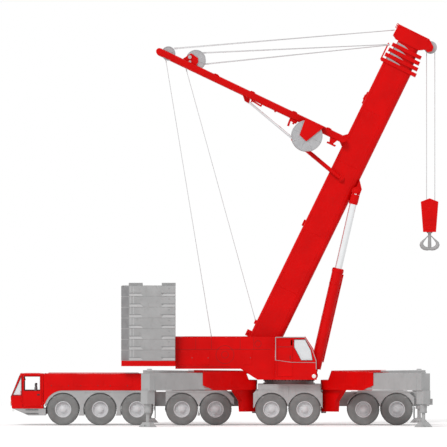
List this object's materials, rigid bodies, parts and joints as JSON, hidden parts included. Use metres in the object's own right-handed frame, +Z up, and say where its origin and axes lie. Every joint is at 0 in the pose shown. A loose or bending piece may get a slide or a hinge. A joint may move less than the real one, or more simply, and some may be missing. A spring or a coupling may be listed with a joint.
{
  "type": "mobile crane",
  "caption": "All-terrain mobile crane on a long wheeled carrier, with star outriggers, slewing counterweighted superstructure, telescopic boom, guy masts and hook block.",
  "frame": {"origin": "On the ground, under the middle of the crane's outer box.", "axes": "+X towards the carrier's rear, over which the boom leans; +Y to the carrier's right; +Z up."},
  "size_m": [19.9878, 13.5638, 18.7478],
  "materials": {
    "crane_red": "gloss",
    "carrier_grey": "satin",
    "light_grey": "satin",
    "dark_steel": "satin",
    "chromed_rod": "polished",
    "wire_rope": "matte",
    "cab_glass": "gloss",
    "seat_fabric": "matte",
    "tyre_rubber": "matte"
  },
  "bodies": {
    "carrier": {"chassis_frame": "carrier_grey", "axle_beams": "dark_steel", "carrier_wings": "carrier_grey", "carrier_body": "crane_red", "engine_block": "dark_steel", "carrier_cab_shell": "crane_red", "carrier_cab_glass": "cab_glass", "carrier_cab_seats": "seat_fabric", "outrigger_centre": "carrier_grey", "outrigger_arm_front_left": "crane_red", "outrigger_arm_front_right": "crane_red"},
    "steering_knuckle_1_left": {"knuckle_1_left": "dark_steel"},
    "wheel_1_left": {"wheel_1_left": "tyre_rubber"},
    "steering_knuckle_1_right": {"knuckle_1_right": "dark_steel"},
    "wheel_1_right": {"wheel_1_right": "tyre_rubber"},
    "steering_knuckle_2_left": {"knuckle_2_left": "dark_steel"},
    "wheel_2_left": {"wheel_2_left": "tyre_rubber"},
    "steering_knuckle_2_right": {"knuckle_2_right": "dark_steel"},
    "wheel_2_right": {"wheel_2_right": "tyre_rubber"},
    "wheels_3": {"wheels_axle_3": "tyre_rubber"},
    "wheels_4": {"wheels_axle_4": "tyre_rubber"},
    "wheels_5": {"wheels_axle_5": "tyre_rubber"},
    "wheels_6": {"wheels_axle_6": "tyre_rubber"},
    "wheels_7": {"wheels_axle_7": "tyre_rubber"},
    "wheels_8": {"wheels_axle_8": "tyre_rubber"},
    "wheels_9": {"wheels_axle_9": "tyre_rubber"},
    "carrier_door_left": {"carrier_cab_door_left": "crane_red"},
    "carrier_door_right": {"carrier_cab_door_right": "crane_red"},
    "outrigger_beam_front_left": {"outrigger_beam_front_left": "carrier_grey"},
    "outrigger_foot_front_left": {"outrigger_foot_front_left": "carrier_grey"},
    "outrigger_arm_rear_left": {"outrigger_arm_rear_left": "crane_red"},
    "outrigger_beam_rear_left": {"outrigger_beam_rear_left": "carrier_grey"},
    "outrigger_foot_rear_left": {"outrigger_foot_rear_left": "carrier_grey"},
    "outrigger_beam_front_right": {"outrigger_beam_front_right": "carrier_grey"},
    "outrigger_foot_front_right": {"outrigger_foot_front_right": "carrier_grey"},
    "outrigger_arm_rear_right": {"outrigger_arm_rear_right": "crane_red"},
    "outrigger_beam_rear_right": {"outrigger_beam_rear_right": "carrier_grey"},
    "outrigger_foot_rear_right": {"outrigger_foot_rear_right": "carrier_grey"},
    "superstructure": {"superstructure_frame": "crane_red", "counterweight_slabs": "light_grey", "operator_cab_shell": "crane_red", "operator_cab_glass": "cab_glass", "operator_seat": "seat_fabric", "hoist_winch": "light_grey"},
    "operator_door": {"operator_cab_door": "crane_red"},
    "boom": {"boom_base": "crane_red"},
    "luff_barrels": {"luff_barrels": "crane_red"},
    "luff_rods": {"luff_rods": "chromed_rod"},
    "boom_section_1": {"boom_section_1": "crane_red"},
    "boom_section_2": {"boom_section_2": "crane_red"},
    "boom_section_3": {"boom_section_3": "crane_red"},
    "boom_head": {"boom_head": "crane_red", "boom_head_sheaves": "light_grey"},
    "guying": {"guy_masts": "crane_red", "mast_drums_and_sheaves": "light_grey"},
    "mast_barrels": {"mast_cylinder_barrels": "crane_red"},
    "mast_rods": {"mast_cylinder_rods": "chromed_rod"},
    "falls": {"hook_falls": "wire_rope"},
    "hook": {"hook_block": "crane_red"}
  },
  "joints": [
    {"name": "steer_1_left", "type": "hinge", "parent": "carrier", "child": "steering_knuckle_1_left", "pos_m": [-7.5469, -0.945, 0.746], "axis": [0, 0, 1], "range_deg": [-25, 25]},
    {"name": "spin_1_left", "type": "hinge", "parent": "steering_knuckle_1_left", "child": "wheel_1_left", "pos_m": [-7.5469, -1.2775, 0.746], "axis": [0, 1, 0], "continuous": true},
    {"name": "steer_1_right", "type": "hinge", "parent": "carrier", "child": "steering_knuckle_1_right", "pos_m": [-7.5469, 0.945, 0.746], "axis": [0, 0, 1], "range_deg": [-25, 25]},
    {"name": "spin_1_right", "type": "hinge", "parent": "steering_knuckle_1_right", "child": "wheel_1_right", "pos_m": [-7.5469, 1.2775, 0.746], "axis": [0, 1, 0], "continuous": true},
    {"name": "steer_2_left", "type": "hinge", "parent": "carrier", "child": "steering_knuckle_2_left", "pos_m": [-5.8159, -0.945, 0.746], "axis": [0, 0, 1], "range_deg": [-19, 19]},
    {"name": "spin_2_left", "type": "hinge", "parent": "steering_knuckle_2_left", "child": "wheel_2_left", "pos_m": [-5.8159, -1.2775, 0.746], "axis": [0, 1, 0], "continuous": true},
    {"name": "steer_2_right", "type": "hinge", "parent": "carrier", "child": "steering_knuckle_2_right", "pos_m": [-5.8159, 0.945, 0.746], "axis": [0, 0, 1], "range_deg": [-19, 19]},
    {"name": "spin_2_right", "type": "hinge", "parent": "steering_knuckle_2_right", "child": "wheel_2_right", "pos_m": [-5.8159, 1.2775, 0.746], "axis": [0, 1, 0], "continuous": true},
    {"name": "spin_axle_3", "type": "hinge", "parent": "carrier", "child": "wheels_3", "pos_m": [-4.0939, 0, 0.746], "axis": [0, 1, 0], "continuous": true},
    {"name": "spin_axle_4", "type": "hinge", "parent": "carrier", "child": "wheels_4", "pos_m": [-2.0059, 0, 0.746], "axis": [0, 1, 0], "continuous": true},
    {"name": "spin_axle_5", "type": "hinge", "parent": "carrier", "child": "wheels_5", "pos_m": [-0.4289, 0, 0.746], "axis": [0, 1, 0], "continuous": true},
    {"name": "spin_axle_6", "type": "hinge", "parent": "carrier", "child": "wheels_6", "pos_m": [2.1731, 0, 0.746], "axis": [0, 1, 0], "continuous": true},
    {"name": "spin_axle_7", "type": "hinge", "parent": "carrier", "child": "wheels_7", "pos_m": [3.7271, 0, 0.746], "axis": [0, 1, 0], "continuous": true},
    {"name": "spin_axle_8", "type": "hinge", "parent": "carrier", "child": "wheels_8", "pos_m": [6.4691, 0, 0.746], "axis": [0, 1, 0], "continuous": true},
    {"name": "spin_axle_9", "type": "hinge", "parent": "carrier", "child": "wheels_9", "pos_m": [8.0321, 0, 0.746], "axis": [0, 1, 0], "continuous": true},
    {"name": "carrier_door_left", "type": "hinge", "parent": "carrier", "child": "carrier_door_left", "pos_m": [-9.4339, -1.494, 1.6], "axis": [0, 0, -1], "range_deg": [0, 70]},
    {"name": "carrier_door_right", "type": "hinge", "parent": "carrier", "child": "carrier_door_right", "pos_m": [-9.4339, 1.494, 1.6], "axis": [0, 0, 1], "range_deg": [0, 70]},
    {"name": "outrigger_reach_front_left", "type": "slide", "parent": "carrier", "child": "outrigger_beam_front_left", "axis": [0.6691, 0.7431, 0], "range_m": [0, 2.65]},
    {"name": "outrigger_jack_front_left", "type": "slide", "parent": "outrigger_beam_front_left", "child": "outrigger_foot_front_left", "axis": [0, 0, 1], "range_m": [0, 0.4]},
    {"name": "outrigger_fold_left", "type": "hinge", "parent": "carrier", "child": "outrigger_arm_rear_left", "pos_m": [4.6251, -0.86, 0.95], "axis": [0, 0, 1], "range_deg": [0, 50.3]},
    {"name": "outrigger_reach_rear_left", "type": "slide", "parent": "outrigger_arm_rear_left", "child": "outrigger_beam_rear_left", "axis": [-0.6388, 0.7694, 0], "range_m": [0, 2.652]},
    {"name": "outrigger_jack_rear_left", "type": "slide", "parent": "outrigger_beam_rear_left", "child": "outrigger_foot_rear_left", "axis": [0, 0, 1], "range_m": [0, 0.4005]},
    {"name": "outrigger_reach_front_right", "type": "slide", "parent": "carrier", "child": "outrigger_beam_front_right", "axis": [0.6691, -0.7431, 0], "range_m": [0, 2.65]},
    {"name": "outrigger_jack_front_right", "type": "slide", "parent": "outrigger_beam_front_right", "child": "outrigger_foot_front_right", "axis": [0, 0, 1], "range_m": [0, 0.4]},
    {"name": "outrigger_fold_right", "type": "hinge", "parent": "carrier", "child": "outrigger_arm_rear_right", "pos_m": [4.6251, 0.86, 0.95], "axis": [0, 0, -1], "range_deg": [0, 50.3]},
    {"name": "outrigger_reach_rear_right", "type": "slide", "parent": "outrigger_arm_rear_right", "child": "outrigger_beam_rear_right", "axis": [-0.6388, -0.7694, 0], "range_m": [0, 2.652]},
    {"name": "outrigger_jack_rear_right", "type": "slide", "parent": "outrigger_beam_rear_right", "child": "outrigger_foot_rear_right", "axis": [0, 0, 1], "range_m": [0, 0.4005]},
    {"name": "slew", "type": "hinge", "parent": "carrier", "child": "superstructure", "pos_m": [3.0061, 0, 2.115], "axis": [0, 0, 1], "continuous": true},
    {"name": "operator_door", "type": "hinge", "parent": "superstructure", "child": "operator_door", "pos_m": [2.4461, -2.069, 3.1], "axis": [0, 0, -1], "range_deg": [0, 80]},
    {"name": "boom_luff", "type": "hinge", "parent": "superstructure", "child": "boom", "pos_m": [1.5861, 0, 3.41], "axis": [0, -1, 0], "range_deg": [-64, 19]},
    {"name": "luff_barrel_swing", "type": "hinge", "parent": "superstructure", "child": "luff_barrels", "pos_m": [4.1621, 0, 2.317], "axis": [0, -1, 0], "range_deg": [-69.5, 21]},
    {"name": "luff_rod_slide", "type": "slide", "parent": "luff_barrels", "child": "luff_rods", "axis": [0.2241, 0, 0.9746], "range_m": [-2.75, 0.82]},
    {"name": "telescope_1", "type": "slide", "parent": "boom", "child": "boom_section_1", "axis": [0.4384, 0, 0.8988], "range_m": [0, 11.8]},
    {"name": "telescope_2", "type": "slide", "parent": "boom_section_1", "child": "boom_section_2", "axis": [0.4384, 0, 0.8988], "range_m": [0, 11.8]},
    {"name": "telescope_3", "type": "slide", "parent": "boom_section_2", "child": "boom_section_3", "axis": [0.4384, 0, 0.8988], "range_m": [0, 11.8]},
    {"name": "telescope_4", "type": "slide", "parent": "boom_section_3", "child": "boom_head", "axis": [0.4384, 0, 0.8988], "range_m": [0, 11.8]},
    {"name": "mast_fold", "type": "hinge", "parent": "boom", "child": "guying", "pos_m": [5.531, 0, 13.3574], "axis": [0, -1, 0], "range_deg": [0, 88]},
    {"name": "mast_barrel_swing", "type": "hinge", "parent": "boom", "child": "mast_barrels", "pos_m": [5.437, 0, 11.5063], "axis": [0, -1, 0], "range_deg": [0, 88.5]},
    {"name": "mast_rod_slide", "type": "slide", "parent": "mast_barrels", "child": "mast_rods", "axis": [-0.7673, 0, 0.6412], "range_m": [-2.55, 0]},
    {"name": "hook_swing", "type": "hinge", "parent": "boom_head", "child": "falls", "pos_m": [9.6309, 0, 17.655], "axis": [0, -1, 0], "range_deg": [-19, 64]},
    {"name": "hoist", "type": "slide", "parent": "falls", "child": "hook", "axis": [0, 0, -1], "range_m": [-6.6, 0], "deforming": ["hook_falls"]}
  ],
  "couplings": [
    {"joint": "steer_1_right", "follows": "steer_1_left", "ratio": 1},
    {"joint": "steer_2_left", "follows": "steer_1_left", "ratio": 0.75},
    {"joint": "steer_2_right", "follows": "steer_1_left", "ratio": 0.75},
    {"joint": "outrigger_jack_front_left", "follows": "outrigger_reach_front_left", "ratio": 0.1509},
    {"joint": "outrigger_reach_rear_left", "follows": "outrigger_fold_left", "m_per_rad": 3.0186},
    {"joint": "outrigger_jack_rear_left", "follows": "outrigger_fold_left", "m_per_rad": 0.4556},
    {"joint": "outrigger_jack_front_right", "follows": "outrigger_reach_front_right", "ratio": 0.1509},
    {"joint": "outrigger_reach_rear_right", "follows": "outrigger_fold_right", "m_per_rad": 3.0186},
    {"joint": "outrigger_jack_rear_right", "follows": "outrigger_fold_right", "m_per_rad": 0.4556},
    {"joint": "luff_barrel_swing", "follows": "boom_luff", "ratio": 1.08},
    {"joint": "luff_rod_slide", "follows": "boom_luff", "m_per_rad": 2.46},
    {"joint": "telescope_2", "follows": "telescope_1", "ratio": 1},
    {"joint": "telescope_3", "follows": "telescope_1", "ratio": 1},
    {"joint": "telescope_4", "follows": "telescope_1", "ratio": 1},
    {"joint": "mast_barrel_swing", "follows": "mast_fold", "ratio": 1},
    {"joint": "mast_rod_slide", "follows": "mast_fold", "m_per_rad": -1.65},
    {"joint": "hook_swing", "follows": "boom_luff", "ratio": -1}
  ]
}
